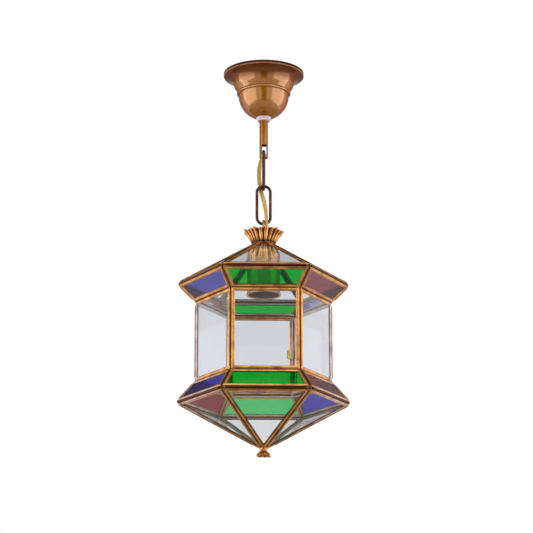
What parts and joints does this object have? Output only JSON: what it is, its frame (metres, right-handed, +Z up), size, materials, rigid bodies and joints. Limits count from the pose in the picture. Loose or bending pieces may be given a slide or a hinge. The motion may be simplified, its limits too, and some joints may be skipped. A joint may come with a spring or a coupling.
{
  "type": "pendant lantern",
  "caption": "Hexagonal pendant lantern of stained and clear glass in brass strip, with a hinged door, hung by long chain links from a ceiling canopy with a lampholder inside.",
  "frame": {"origin": "on the ceiling plane, on the stem's axis, midway between the bracket's two screw holes", "axes": "+Z is up, -Y is the front that the picture shows, +Y is the door's side, X runs along the bracket"},
  "size_m": [0.241, 0.2112, 0.5661],
  "materials": {
    "zinc_steel": "zinc plated",
    "bronze_lacquer": "glossy bronze-gold lacquer",
    "pale_collar": "satin",
    "white_plastic": "moulded",
    "plain_brass": "plain",
    "core_insulation": "smooth",
    "gold_flex": "soft gloss",
    "dark_iron": "dark browned wire, worn to brass colour in places",
    "crown_brass": "antique, bright edges",
    "antique_brass": "antique, rubbed bright on the ridges",
    "aged_solder": "solder under brown patina",
    "cover_brass": "satin",
    "black_plastic": "moulded",
    "clear_glass": "clear",
    "green_glass": "stained",
    "red_glass": "stained",
    "blue_glass": "stained"
  },
  "bodies": {
    "ceiling_mount": {"ceiling_bracket": "zinc_steel", "stem_tube": "bronze_lacquer", "stem_nuts": "zinc_steel", "terminal_block": "white_plastic", "terminal_screws": "plain_brass", "lead_cores": "core_insulation", "cord_in_stem": "gold_flex", "cord_upper_span": "gold_flex"},
    "canopy": {"canopy": "bronze_lacquer", "canopy_collar": "pale_collar"},
    "upper_link": {"upper_link": "dark_iron", "cord_middle_span": "gold_flex"},
    "lower_link": {"lower_link": "dark_iron", "cord_lower_span": "gold_flex"},
    "door": {"door_strips": "antique_brass", "door_pane": "clear_glass", "door_knuckles": "antique_brass", "catch_curl": "plain_brass"},
    "lantern": {"base_hub": "antique_brass", "base_panes": "clear_glass", "base_strips": "antique_brass", "catch_keeper": "plain_brass", "centre_contact": "plain_brass", "cord_in_lantern": "gold_flex", "crown": "crown_brass", "door_jamb": "antique_brass", "finial": "crown_brass", "hanging_eye": "crown_brass", "hinge_pins": "plain_brass", "holder_cover": "cover_brass", "holder_nipple": "zinc_steel", "lampholder_body": "black_plastic", "lampholder_cap": "black_plastic", "lampholder_sleeve": "plain_brass", "lower_blue_pane_back_right": "blue_glass", "lower_blue_pane_front_left": "blue_glass", "lower_green_pane_back": "green_glass", "lower_green_pane_front": "green_glass", "lower_red_pane_back_left": "red_glass", "lower_red_pane_front_right": "red_glass", "lower_skirt_strips": "antique_brass", "nipple_nuts": "zinc_steel", "post_knuckles": "antique_brass", "roof_hub": "antique_brass", "roof_panes": "clear_glass", "roof_strips": "antique_brass", "side_pane_back_left": "clear_glass", "side_pane_back_right": "clear_glass", "side_pane_front": "clear_glass", "side_pane_front_left": "clear_glass", "side_pane_front_right": "clear_glass", "side_strips": "antique_brass", "solder_seams": "aged_solder", "upper_blue_pane_back_right": "blue_glass", "upper_blue_pane_front_left": "blue_glass", "upper_green_pane_back": "green_glass", "upper_green_pane_front": "green_glass", "upper_red_pane_back_left": "red_glass", "upper_red_pane_front_right": "red_glass", "upper_skirt_strips": "antique_brass"}
  },
  "joints": [
    {"name": "canopy_slide", "type": "slide", "parent": "ceiling_mount", "child": "canopy", "axis": [0, 0, 1], "range_m": [-0.03, 0]},
    {"name": "upper_link_swing", "type": "hinge", "parent": "ceiling_mount", "child": "upper_link", "pos_m": [0, 0, -0.11936], "axis": [0, 1, 0], "range_deg": [-25, 25], "deforming": ["cord_upper_span"]},
    {"name": "lower_link_swing", "type": "hinge", "parent": "upper_link", "child": "lower_link", "pos_m": [0, 0, -0.17176], "axis": [1, 0, 0], "range_deg": [-25, 25], "deforming": ["cord_middle_span"]},
    {"name": "lantern_swing", "type": "hinge", "parent": "lower_link", "child": "lantern", "pos_m": [0, 0, -0.22446], "axis": [0, 1, 0], "range_deg": [-25, 25], "deforming": ["cord_lower_span"]},
    {"name": "door_hinge", "type": "hinge", "parent": "lantern", "child": "door", "pos_m": [-0.04403, 0.08647, -0.40173], "axis": [0, 0, 1], "range_deg": [0, 120]}
  ]
}
